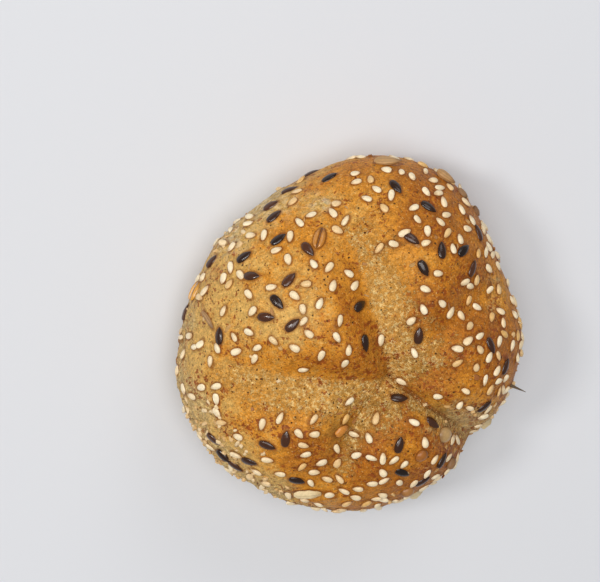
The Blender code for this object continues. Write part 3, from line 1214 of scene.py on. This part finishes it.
class Bun:
    """The baked roll itself."""

    NODE = "roll"
    touching_side = 222.0

    def __init__(self, form: BunForm, strewing: Strewing) -> None:
        """Builds the crust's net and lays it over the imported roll's box.

        Args:
            form: The bun's outer form.
            strewing: The line along which the seeds fell.
        """
        self.form = form
        self.strewing = strewing
        self.patches = CrustPatches()
        self.noise = Noise(5)
        ball = CubeBall(cuts=176)
        self.faces = ball.faces
        self.points, self.marks = form.shape(ball.directions)
        self.fit_to_frame()
        self.roughen()
        self.tree = BVHTree.FromPolygons(self.points.tolist(), self.faces.tolist())

    def fit_to_frame(self) -> None:
        """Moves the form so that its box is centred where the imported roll's is, on the same base."""
        low, high = (np.array(corner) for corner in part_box(self.NODE))
        mine_low, mine_high = self.points.min(axis=0), self.points.max(axis=0)
        shift = (low + high - mine_low - mine_high) / 2
        shift[2] = low[2] - mine_low[2]
        self.points += shift
        self.middle = Vector((shift[0], shift[1], self.form.belly_height))

    def roughen(self) -> None:
        """Gives the crust its unevenness and its marks, from the plain form's own places."""
        spread = self.strewing.spread(self.points, self.middle)
        crumbly = self.mark_pale(spread)
        self.wrinkle(crumbly)
        self.mark_bake_and_shade(spread)
        self.mark_olive_shade(spread)
        self.mark_flour(spread)
        along = self.marks["along"] + 0.012 * self.noise.layered(self.points, 5 * MM)
        self.marks["under"] = smooth_step(0.62, 0.71, along)
        self.marks["seat"] = np.zeros(len(self.points))

    def mark_pale(self, spread: Array) -> Array:
        """Marks the pale crust: torn skin, hollows, and the sides that touched the next roll.

        Args:
            spread: Each point's place across and up, in millimetres.

        Returns:
            How crumbly each point is.
        """
        along, patches = self.marks["along"], self.patches
        turn = np.degrees(np.arctan2(self.points[:, 1], self.points[:, 0]))
        touching = np.cos(np.radians(turn - self.touching_side))
        side = smooth_step(0.34, 0.50, along + 0.03 * self.noise.layered(self.points, 6 * MM))
        side = side * smooth_step(0.2, 0.85, touching)
        torn = np.clip(overlaid(patches.torn, spread), 0, 1)
        wall = np.clip(overlaid(patches.wall, spread), 0, 1)
        rim = overlaid(patches.near_rim, spread) * smooth_step(0.33, 0.44, along)
        gully = overlaid(patches.gully, spread) + rim
        low = 0.35 * smooth_step(0.42, 0.60, along)
        self.marks["torn"] = torn
        self.marks["pale"] = np.clip(side + low + 0.95 * torn + gully + 0.9 * wall, 0, 1)
        return np.maximum(np.maximum(side, wall), 0.7 * torn) * (1 - smooth_step(0.55, 0.66, along))

    def wrinkle(self, crumbly: Array) -> None:
        """Lifts the crust into soft swells, wrinkled creases and a rugged, pale lower side.

        Args:
            crumbly: How crumbly each point is.
        """
        normals = vertex_normals(self.points, self.faces)
        upper = 1 - smooth_step(0.60, 0.69, self.marks["along"])
        lift = 0.55 * self.noise.layered(self.points, 13 * MM, 3, 0.45)
        wrinkled = 0.35 + self.marks["dust"] + self.marks["pale"]
        lift += 0.16 * self.noise.layered(self.points, 2.6 * MM, 3, 0.6) * wrinkled
        lift += 0.42 * self.noise.layered(self.points + 0.2, 1.4 * MM, 2) * crumbly
        self.points += normals * (lift * upper * MM)[:, None]
        self.points[:, 2] = np.maximum(self.points[:, 2], 0.0)

    def mark_bake_and_shade(self, spread: Array) -> None:
        """Marks how dark the crust is: baked darker on the lobes' edges and lighter where pale, with painted
        shade to the right and painted light on the left.

        Args:
            spread: Each point's place across and up, in millimetres.
        """
        along, across, up = self.marks["along"], spread[:, 0], spread[:, 1]
        # Painted shade: darker to the right and lower down, away from the light. The edge term is the lobes'
        # darker baked edges.
        bake_and_shade = 0.17 * self.marks["edge"] + 0.31 * smooth_step(-20, 46, across - 0.25 * up)
        bake_and_shade += 0.04 * smooth_step(0.30, 0.46, along) - 0.48 * self.marks["pale"] - 0.04
        # Painted light: less painted shade on the lower right rim, and lighter on the left, towards the light.
        bake_and_shade -= 0.12 * smooth_step(0.36, 0.50, along) * smooth_step(20, 44, across)
        bake_and_shade -= 0.25 * smooth_step(-26, -44, across - 0.4 * up)
        # The sheen patches lighten the tone: a painted sheen on the big lobe's top, and a lighter place by the
        # hub.
        bake_and_shade += overlaid(self.patches.toasted, spread) - overlaid(self.patches.painted_sheen_and_lighter, spread)
        self.marks["bake_and_shade"] = bake_and_shade

    def mark_olive_shade(self, spread: Array) -> None:
        """Marks the greenish-brown painted shade in the deep creases on the near side.

        Args:
            spread: Each point's place across and up, in millimetres.
        """
        across, up = spread[:, 0], spread[:, 1]
        # Painted shade where the creases are deep, on the near side, with the shaded patches adding more.
        valley = smooth_step(1.8, 4.2, self.marks["pressed"]) * smooth_step(-12, 6, -up - 4)
        for patch in self.patches.unshaded:
            valley *= 1 - patch.on(spread)
        olive_shade = valley * smooth_step(-14, -2, across) * (0.5 + 0.7 * self.noise.at(self.points, 5 * MM))
        self.marks["olive_shade"] = np.clip(olive_shade + overlaid(self.patches.shaded, spread), 0, 1)

    def mark_flour(self, spread: Array) -> None:
        """Marks where flour and bran lie.

        Args:
            spread: Each point's place across and up, in millimetres.
        """
        sifted = overlaid(self.patches.sifted, spread) - overlaid(self.patches.swept, spread)
        dust = np.clip(self.marks["dust"] + sifted, 0, 1)
        self.marks["dust"] = dust
        self.marks["bran"] = np.clip(1 - overlaid(self.patches.plain, spread) - 0.4 * dust, 0, 1)

    def press_seats(self, seats: list[Seat]) -> None:
        """Draws the crust up round each seed and paints a shadow ring where it meets the seed.

        Args:
            seats: Every seed's place.
        """
        normals = vertex_normals(self.points, self.faces)
        lift = np.zeros(len(self.points))
        seat_shadow = self.marks["seat"]
        order = np.argsort(self.points[:, 0])
        sorted_x = self.points[order, 0]
        for seat in seats:
            reach = 0.9 * seat.length
            first, last = np.searchsorted(sorted_x, [seat.place.x - reach, seat.place.x + reach])
            near = order[first:last]
            away = self.points[near] - np.array(seat.place)
            close = (np.abs(away) < reach).all(axis=1)
            near, away = near[close], away[close]
            frame = np.array(seat.frame().to_3x3())
            local = away @ frame
            ring = np.hypot(local[:, 0] / (0.5 * seat.length), local[:, 1] / (0.5 * seat.width))
            rim = np.exp(-(((ring - 1.08) / 0.30) ** 2))
            lift[near] = np.maximum(lift[near], 0.16 * MM * rim)
            # Painted contact shadow on the ring where the seed meets the crust.
            contact_shadow = np.exp(-(((ring - 1.0) * 0.5 * seat.width / (0.32 * MM)) ** 2))
            seat_shadow[near] = np.maximum(seat_shadow[near], contact_shadow)
        self.points += normals * lift[:, None]

    def build(self) -> bpy.types.Object:
        """Makes the crust's object, dressed and riding on the frame.

        Returns:
            The new object.
        """
        kept = ("bake_and_shade", "bran", "dust", "edge", "fold", "olive_shade", "pale", "seat", "torn", "under")
        marks = {name: self.marks[name] for name in kept}
        crust = make_mesh("roll_crust", self.points, self.faces.tolist(), marks)
        crust.data.materials.append(CrustFinish().material())
        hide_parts(self.NODE)
        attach(crust, BODY)
        return crust


class PlacedGrains:
    """The flax seeds and larger grains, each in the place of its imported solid."""

    def __init__(self, bun: Bun, materials: dict[Grain, bpy.types.Material]) -> None:
        """Reads each packed grain's place, direction and size.

        Args:
            bun: The bun that they lie on.
            materials: Each kind's material.
        """
        self.bun = bun
        self.materials = materials
        self.noise = Noise(11)
        names = sorted(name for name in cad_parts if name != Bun.NODE)
        self.seats = {name: self.read_seat(name) for name in names}

    def read_seat(self, name: str) -> Seat:
        """Measures a packed grain and finds its place on the fine crust.

        Args:
            name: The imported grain's name.

        Returns:
            Where and how it lies.
        """
        points = np.array([vertex.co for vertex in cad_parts[name].data.vertices], float)
        points = np.unique(np.round(points, 7), axis=0)
        middle = points.mean(axis=0)
        _, _, axes = np.linalg.svd(points - middle, full_matrices=False)
        local = (points - middle) @ axes.T
        size = np.ptp(local, axis=0)
        girth = np.hypot(local[:, 1], local[:, 2])
        pointed = np.corrcoef(local[:, 0], girth)[0, 1] < 0
        heading = Vector(axes[0] if pointed else -axes[0])
        place, normal, _, _ = self.bun.tree.find_nearest(Vector(middle))
        kind = Grain(name.split("_")[0])
        normal = self.bun.strewing.raised(normal, 0.45 if kind is Grain.FLAX else 0.95)
        return Seat(place, normal, heading, float(size[0]), float(size[1]), float(size[2]), kind)

    def build(self) -> list[bpy.types.Object]:
        """Makes each grain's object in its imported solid's place.

        Returns:
            The new objects.
        """
        draw = np.random.default_rng(21)
        made = []
        for number, (name, seat) in enumerate(self.seats.items()):
            form = FORMS[seat.kind]
            grain = form.shape(seat.length, seat.width, seat.thickness, self.noise, number)
            # low: where the skin paints shade, near the crust.
            low = 1 - smooth_step(form.sink, form.sink + 0.35, grain.height_share)
            tint = np.full(len(grain.points), draw.uniform(0, 1))
            piece = grain.placed(seat.frame()).build(name + "_baked", tint, low)
            piece.data.materials.append(self.materials[seat.kind])
            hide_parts(name)
            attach(piece, BODY)
            made.append(piece)
        return made


@dataclass(frozen=True)
class Straw:
    """A thin dark straw baked into the rim, which sticks out of the crust."""

    across_mm: float = 44.0
    up_mm: float = -13.6
    droop: float = 24.0
    length_mm: float = 9.5
    width_mm: float = 1.3
    thickness_mm: float = 0.7

    def build(self, bun: Bun, materials: dict[Grain, bpy.types.Material]) -> bpy.types.Object:
        """Makes the straw, its thick end inside the crust and its point outside.

        Args:
            bun: The bun that it sticks out of.
            materials: Each kind's material.

        Returns:
            The new object.
        """
        strewing, droop = bun.strewing, math.radians(self.droop)
        heading = strewing.right * math.cos(droop) - strewing.up * math.sin(droop)
        start = bun.middle + strewing.right * (self.across_mm * MM) + strewing.up * (self.up_mm * MM)
        place, _, _, _ = bun.tree.find_nearest(start)
        size = (self.length_mm * MM, self.width_mm * MM, self.thickness_mm * MM)
        seat = Seat(place, strewing.back, heading, *size, Grain.STRAW)
        grain = FORMS[Grain.STRAW].shape(*size, Noise(14), 1)
        even = np.full(len(grain.points), 0.3)
        straw = grain.placed(seat.frame()).build("rim_straw", even, 0 * even)
        straw.data.materials.append(materials[Grain.STRAW])
        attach(straw, BODY)
        return straw


@dataclass(frozen=True)
class Strewn:
    """A round patch of the crust where more things lie, or fewer if its weight is below 0."""

    across_mm: float
    up_mm: float
    radius_mm: float
    weight: float


@dataclass(frozen=True)
class Mixture:
    """One kind of small thing strewn over the crust: how many, how large, and where they lie thickest.

    spread is how much their sizes vary, tilt how far they lean, and toasted the share that is darker. evenly
    is their weight outside every patch, and lowest how far down the section they reach.
    """

    kind: Grain
    count: int
    length_mm: float
    width_mm: float
    thickness_mm: float
    spacing_mm: float
    spread: float
    tilt: float
    evenly: float
    lowest: float
    toasted: float
    patches: tuple[Strewn, ...]


MIXTURES: dict[str, Mixture] = {
    "sesame": Mixture(
        kind=Grain.SESAME,
        count=290,
        length_mm=3.2,
        width_mm=1.98,
        thickness_mm=1.15,
        spacing_mm=3.5,
        spread=0.07,
        tilt=0.18,
        evenly=0.75,
        lowest=0.56,
        toasted=0.20,
        patches=(
            Strewn(31, 23, 19, 1.5),
            Strewn(42, -5, 13, 1.4),
            Strewn(-2, -31, 13, 1.0),
            Strewn(-14, 3, 13, 1.1),
            Strewn(-38, -22, 12, 0.5),
            Strewn(18, -42, 13, 0.8),
            Strewn(3, 16, 10, -0.9),
            Strewn(8, -10, 10, -0.8),
            Strewn(-22, 38, 16, -0.6),
            Strewn(-18, -14, 11, -0.9),
            Strewn(20, 5, 9, -0.4),
        ),
    ),
    "crumb": Mixture(
        kind=Grain.CRUMB,
        count=170,
        length_mm=1.4,
        width_mm=1.1,
        thickness_mm=0.9,
        spacing_mm=1.0,
        spread=0.30,
        tilt=0.4,
        evenly=0.02,
        lowest=0.63,
        toasted=0.5,
        patches=(
            Strewn(-41, -25, 7, 1.2),
            Strewn(-33, -36, 8, 1.4),
            Strewn(-20, -45, 6, 0.9),
            Strewn(40, -27, 6, 0.6),
            Strewn(-32, 28, 6, 0.3),
        ),
    ),
    "husk": Mixture(
        kind=Grain.HUSK,
        count=110,
        length_mm=1.9,
        width_mm=0.9,
        thickness_mm=0.35,
        spacing_mm=1.5,
        spread=0.35,
        tilt=0.30,
        evenly=0.22,
        lowest=0.58,
        toasted=0.6,
        patches=(
            Strewn(34, -28, 11, 1.6),
            Strewn(37, 32, 9, 1.2),
            Strewn(-30, -34, 10, 0.8),
            Strewn(-2, -26, 4, 1.5),
            Strewn(8, -18, 8, 0.4),
        ),
    ),
}


TRIES_PER_THING = 12
FIRST_SEED = 48
SEED_STEP = 10


@dataclass
class Scatter:
    """The small things strewn at random over the crust, thinner in the creases."""

    bun: Bun
    taken: list[Seat]
    materials: dict[Grain, bpy.types.Material]
    name: str
    mixture: Mixture
    seed: int

    def density(self, spread: Array) -> Array:
        """Finds how thickly the things lie.

        Args:
            spread: Places across and up, in millimetres.

        Returns:
            The weight of each place.
        """
        total = np.full(len(spread), self.mixture.evenly)
        for patch in self.mixture.patches:
            gap = np.hypot(spread[:, 0] - patch.across_mm, spread[:, 1] - patch.up_mm) / patch.radius_mm
            total += patch.weight * np.exp(-(gap**2))
        return total.clip(0.04 * self.mixture.evenly)

    def strew(self) -> list[Seat]:
        """Draws the places on the crust.

        Returns:
            Where and how each thing lies.
        """
        mixture = self.mixture
        draw = np.random.default_rng(self.seed)
        seats: list[Seat] = []
        places = [np.array(seat.place) for seat in self.taken]
        points = self.bun.points
        for index in draw.choice(len(points), size=TRIES_PER_THING * mixture.count, p=self.weights()):
            if len(seats) == mixture.count:
                break
            place = points[index] + draw.normal(0, 0.1 * MM, 3)
            gap = min(np.linalg.norm(place - other) for other in places)
            if gap < mixture.spacing_mm * MM * draw.uniform(0.7, 1.5):
                continue
            places.append(place)
            seats.append(self.drop(place, draw))
        return seats

    def weights(self) -> Array:
        """Finds how likely a thing is to land on each point of the crust.

        Returns:
            The points' shares, which add up to 1.
        """
        points, marks, strewing = self.bun.points, self.bun.marks, self.bun.strewing
        reached = marks["along"] < self.mixture.lowest
        weight = self.density(strewing.spread(points, self.bun.middle)) * reached
        if self.mixture.kind is Grain.SESAME:
            facing = vertex_normals(points, self.bun.faces) @ np.array(strewing.back)
            weight *= smooth_step(-0.35, 0.3, facing) * (1 - 0.85 * marks["dust"]) * (1 - 0.6 * marks["pale"])
        return weight / weight.sum()

    def drop(self, place: Array, draw: np.random.Generator) -> Seat:
        """Lays one thing on the crust, turned and tilted at random.

        Args:
            place: Where it lands.
            draw: The source of random numbers.

        Returns:
            Where and how it lies.
        """
        mixture, strewing = self.mixture, self.bun.strewing
        hit, normal, _, _ = self.bun.tree.find_nearest(Vector(place))
        size = np.array([mixture.length_mm, mixture.width_mm, mixture.thickness_mm]) * MM
        least, most = 1 - 2 * mixture.spread, 1 + 2 * mixture.spread
        sizes = size * draw.normal(1.0, mixture.spread, 3).clip(least, most)
        turn = draw.uniform(0, 2 * math.pi)
        heading = strewing.right * math.cos(turn) + strewing.up * math.sin(turn)
        tilted = (strewing.raised(normal) + Vector(draw.normal(0, mixture.tilt, 3))).normalized()
        return Seat(hit, tilted, heading, *map(float, sizes), mixture.kind)

    def build(self, seats: list[Seat]) -> list[bpy.types.Object]:
        """Makes the things, joined into one piece on each quarter of the bun.

        Args:
            seats: Their places.

        Returns:
            The joined pieces.
        """
        draw = np.random.default_rng(self.seed + 1)
        noise = Noise(12)
        form = FORMS[self.mixture.kind]
        quarters: dict[str, list[tuple[GrainMesh, Array, Array]]] = {}
        for number, seat in enumerate(seats):
            grain = form.shape(seat.length, seat.width, seat.thickness, noise, number)
            # low: where the skin paints shade, near the crust.
            low = 1 - smooth_step(form.sink, form.sink + 0.3, grain.height_share)
            dark = draw.uniform() < self.mixture.toasted
            tint = np.full(len(grain.points), draw.uniform(0.5, 1.0) if dark else draw.uniform(0, 0.35))
            name = ("far" if seat.place.y > 0 else "near") + ("_right" if seat.place.x > 0 else "_left")
            quarters.setdefault(name, []).append((grain.placed(seat.frame()), tint, low))
        made = []
        for name, grains in sorted(quarters.items()):
            joined = self.join([grain for grain, _, _ in grains])
            tint = np.concatenate([tint for _, tint, _ in grains])
            low = np.concatenate([low for _, _, low in grains])
            piece = joined.build(f"{self.name}_{name}", tint, low)
            piece.data.materials.append(self.materials[self.mixture.kind])
            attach(piece, BODY)
            made.append(piece)
        return made

    @staticmethod
    def join(grains: list[GrainMesh]) -> GrainMesh:
        """Joins many grains into one mesh.

        Args:
            grains: The grains.

        Returns:
            The joined mesh.
        """
        starts = np.cumsum([0] + [len(grain.points) for grain in grains[:-1]])
        return GrainMesh(
            np.vstack([grain.points for grain in grains]),
            np.vstack([grain.faces + start for grain, start in zip(grains, starts)]),
            np.concatenate([grain.length_share for grain in grains]),
            np.concatenate([grain.round_share for grain in grains]),
            np.concatenate([grain.height_share for grain in grains]),
        )


@dataclass(frozen=True)
class Lamp:
    """One round soft light: its place from the roll's middle, its width, power in watts and colour."""

    place: Place
    size: float
    power: float
    colour: Colour


@dataclass
class Studio:
    """The pale floor, the soft light and the camera."""

    strewing: Strewing
    middle: Vector
    view_width: float = 0.171
    distance: float = 0.55
    aim_left_mm: float = 13.1
    aim_up_mm: float = 12.0
    floor_size: float = 3.0
    floor_colour: Colour = (0.766, 0.784, 0.826)
    surround_colour: Colour = (1.0, 0.985, 0.965)
    surround_strength: float = 0.24
    lamps: dict[str, Lamp] = field(
        default_factory=lambda: {
            "overhead_light": Lamp((-0.35, 0.25, 2.0), 1.5, 22.0, (1.0, 0.99, 0.98)),
            "window_light": Lamp((-1.38, 0.39, 1.575), 0.45, 12.4, (1.0, 0.985, 0.96)),
            "fill_light": Lamp((0.35, 1.0, 0.75), 0.7, 2.2, (1.0, 0.995, 0.99)),
        }
    )

    def build_floor(self) -> bpy.types.Object:
        """Lays a wide, even floor just under the base.

        Returns:
            The floor.
        """
        size = self.floor_size
        corners = np.array([[-size, -size, 0], [size, -size, 0], [size, size, 0], [-size, size, 0]])
        floor = make_mesh("floor", corners, [[0, 1, 2, 3]], {})
        net = Net("pale_floor")
        cloud = net.noise(0.25, 2)
        colour = net.mix(cloud, self.floor_colour, tuple(0.97 * part for part in self.floor_colour))
        floor.data.materials.append(net.finish(colour, 0.7))
        return floor

    def build_lights(self) -> None:
        """Sets the even pale surround and the three soft lights, each facing the roll."""
        world = bpy.data.worlds.new("surround")
        world.use_nodes = True
        background = world.node_tree.nodes["Background"]
        background.inputs["Color"].default_value = (*self.surround_colour, 1.0)
        background.inputs["Strength"].default_value = self.surround_strength
        bpy.context.scene.world = world
        for name, lamp in self.lamps.items():
            self.add_light(name, lamp)

    def add_light(self, name: str, lamp: Lamp) -> None:
        """Adds one light.

        Args:
            name: The light's name.
            lamp: Its place, size, power and colour.
        """
        light = bpy.data.lights.new(name, "AREA")
        light.shape = "DISK"
        light.size = lamp.size
        light.energy = lamp.power
        light.color = lamp.colour
        made = bpy.data.objects.new(name, light)
        made.location = Vector(lamp.place) + self.middle
        made.rotation_euler = (-Vector(lamp.place)).to_track_quat("-Z", "Y").to_euler()
        bpy.context.scene.collection.objects.link(made)

    def build_camera(self) -> None:
        """Sets a camera that looks down along the strewing line, with +Y up in its view."""
        back, up, right = self.strewing.back, self.strewing.up, self.strewing.right
        aim = self.middle - right * (self.aim_left_mm * MM) + up * (self.aim_up_mm * MM)
        data = bpy.data.cameras.new("camera")
        data.sensor_fit = "HORIZONTAL"
        data.angle = 2 * math.atan(0.5 * self.view_width / self.distance)
        camera = bpy.data.objects.new("camera", data)
        turned = Matrix((right, up, back)).transposed().to_4x4()
        camera.matrix_world = Matrix.Translation(aim + back * self.distance) @ turned
        bpy.context.scene.collection.objects.link(camera)
        bpy.context.scene.camera = camera
        bpy.context.scene.view_settings.view_transform = "Standard"


def main() -> None:
    """Builds the bun, its seeds and the studio."""
    logging.basicConfig(level=logging.INFO, format="%(name)s: %(message)s")
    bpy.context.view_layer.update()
    strewing = Strewing()
    bun = Bun(BunForm(), strewing)
    materials = {kind: finish.material() for kind, finish in FINISHES.items()}
    grains = PlacedGrains(bun, materials)
    seats = list(grains.seats.values())
    scatters: list[tuple[Scatter, list[Seat]]] = []
    for number, (name, mixture) in enumerate(MIXTURES.items()):
        scatter = Scatter(bun, list(seats), materials, name, mixture, FIRST_SEED + SEED_STEP * number)
        strewn = scatter.strew()
        scatters.append((scatter, strewn))
        seats.extend(strewn)
        LOG.info("%s: %d strewn", name, len(strewn))
    bun.press_seats([seat for seat in seats if seat.kind not in (Grain.CRUMB, Grain.HUSK)])
    pieces = [bun.build(), *grains.build(), Straw().build(bun, materials)]
    for scatter, strewn in scatters:
        pieces.extend(scatter.build(strewn))
    for piece in pieces:
        LOG.info("%s: %d points", piece.name, len(piece.data.vertices))
    studio = Studio(strewing, bun.middle)
    studio.build_floor()
    studio.build_lights()
    studio.build_camera()


if __name__ == "__main__":
    main()
